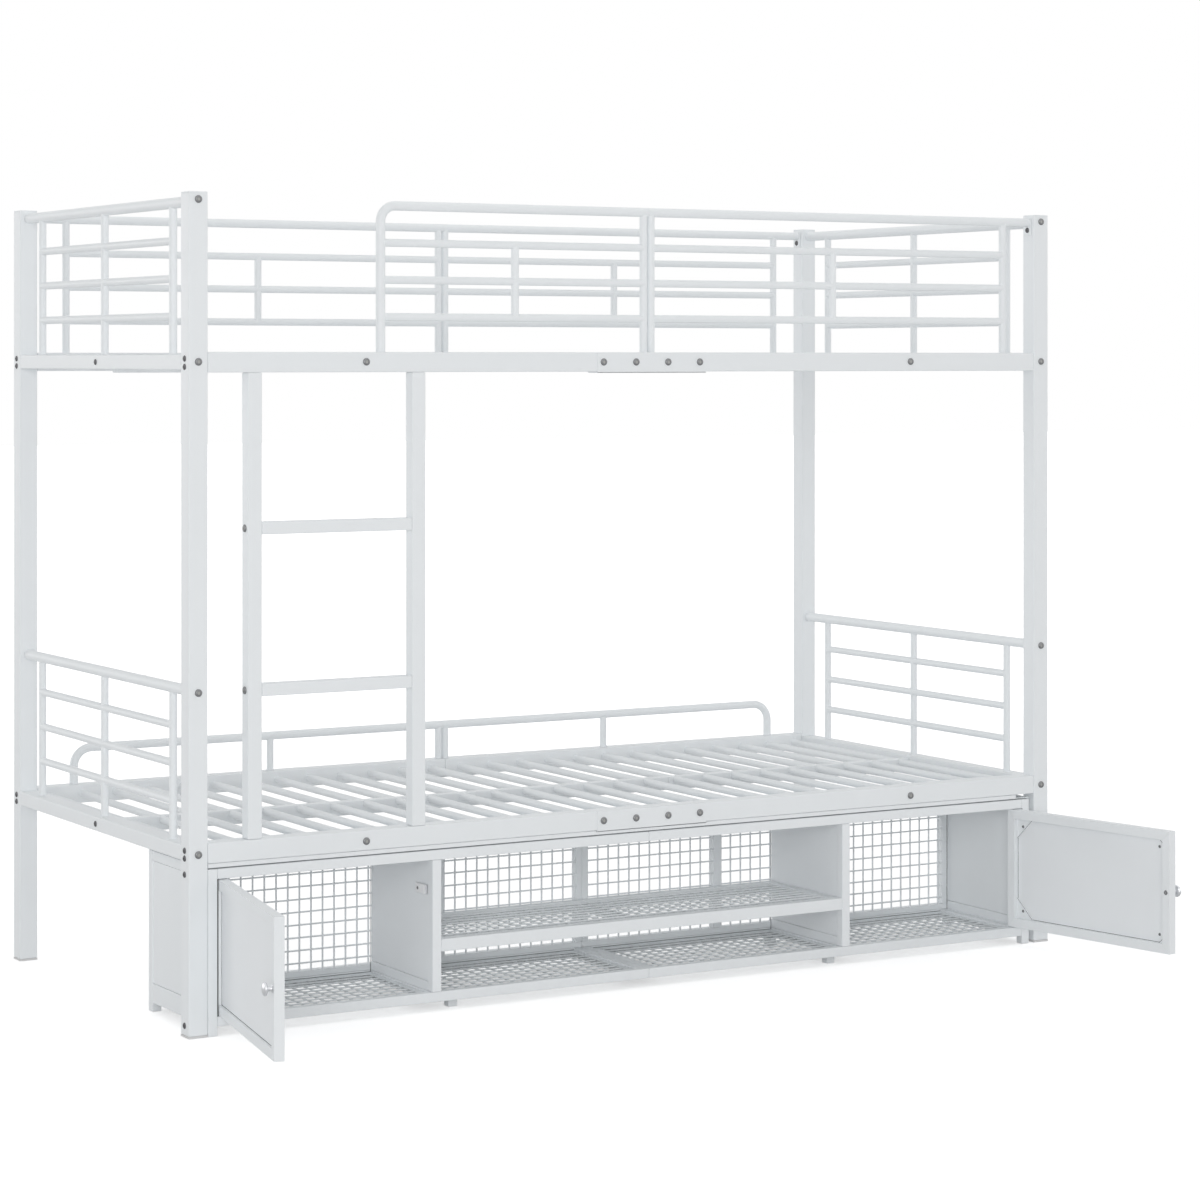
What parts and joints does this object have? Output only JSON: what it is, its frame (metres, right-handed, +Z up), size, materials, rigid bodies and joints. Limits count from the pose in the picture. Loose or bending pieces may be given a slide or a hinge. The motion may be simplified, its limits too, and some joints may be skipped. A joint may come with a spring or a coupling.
{
  "type": "metal bunk bed",
  "caption": "White tubular steel bunk bed with slatted decks, guard rails, a front ladder and a low mesh cabinet with hinged end doors under its front.",
  "frame": {"origin": "on the floor, under the middle of the outline with both doors standing open", "axes": "+X along the bed towards the end away from the ladder, +Y from the front towards the rear, +Z up"},
  "size_m": [2.1388, 1.4092, 1.63],
  "materials": {
    "white_steel": "satin white powder coat",
    "white_plastic": "moulded white plastic",
    "pale_plastic": "moulded off-white plastic",
    "bare_steel": "plain bright steel"
  },
  "bodies": {
    "bed": {"post_front_left": "white_steel", "glide_front_left": "white_plastic", "post_rear_left": "white_steel", "glide_rear_left": "white_plastic", "post_front_right": "white_steel", "glide_front_right": "white_plastic", "post_rear_right": "white_steel", "glide_rear_right": "white_plastic", "lower_front_rail_left": "white_steel", "lower_front_rail_right": "white_steel", "lower_front_splice": "white_steel", "lower_rear_rail_left": "white_steel", "lower_rear_rail_right": "white_steel", "lower_rear_splice": "white_steel", "lower_centre_rail_left": "white_steel", "lower_centre_rail_right": "white_steel", "upper_front_rail_left": "white_steel", "upper_front_rail_right": "white_steel", "upper_front_splice": "white_steel", "upper_rear_rail_left": "white_steel", "upper_rear_rail_right": "white_steel", "upper_rear_splice": "white_steel", "upper_centre_rail_left": "white_steel", "upper_centre_rail_right": "white_steel", "lower_end_panel_left": "white_steel", "lower_end_panel_right": "white_steel", "upper_end_panel_left": "white_steel", "upper_end_panel_right": "white_steel", "upper_front_guard_left": "white_steel", "upper_front_guard_right": "white_steel", "upper_rear_guard_left": "white_steel", "upper_rear_guard_right": "white_steel", "lower_rear_guard_left": "white_steel", "lower_rear_guard_right": "white_steel", "ladder_leg_left": "white_steel", "ladder_leg_right": "white_steel", "ladder_rung_1": "white_steel", "ladder_rung_2": "white_steel", "cabinet_side_left": "white_steel", "cabinet_divider_left": "white_steel", "cabinet_top_left": "white_steel", "cabinet_floor_left": "white_steel", "cabinet_back_left": "white_steel", "door_catch_left": "pale_plastic", "cabinet_side_right": "white_steel", "cabinet_divider_right": "white_steel", "cabinet_top_right": "white_steel", "cabinet_floor_right": "white_steel", "cabinet_back_right": "white_steel", "door_catch_right": "pale_plastic", "cabinet_shelf": "white_steel", "door_hinge_rod_left": "bare_steel", "door_hinge_rod_right": "bare_steel"},
    "door_left": {"door_frame_left": "white_steel", "door_sheet_left": "white_steel", "door_knob_left": "bare_steel"},
    "door_right": {"door_frame_right": "white_steel", "door_sheet_right": "white_steel", "door_knob_right": "bare_steel"}
  },
  "joints": [
    {"name": "door_left_hinge", "type": "hinge", "parent": "bed", "child": "door_left", "pos_m": [-0.9587, -0.26065, 0.17], "axis": [0, 0, 1], "range_deg": [-3.5, 100.5]},
    {"name": "door_right_hinge", "type": "hinge", "parent": "bed", "child": "door_right", "pos_m": [0.9587, -0.26065, 0.17], "axis": [0, 0, 1], "range_deg": [-100.5, 3.5]}
  ]
}
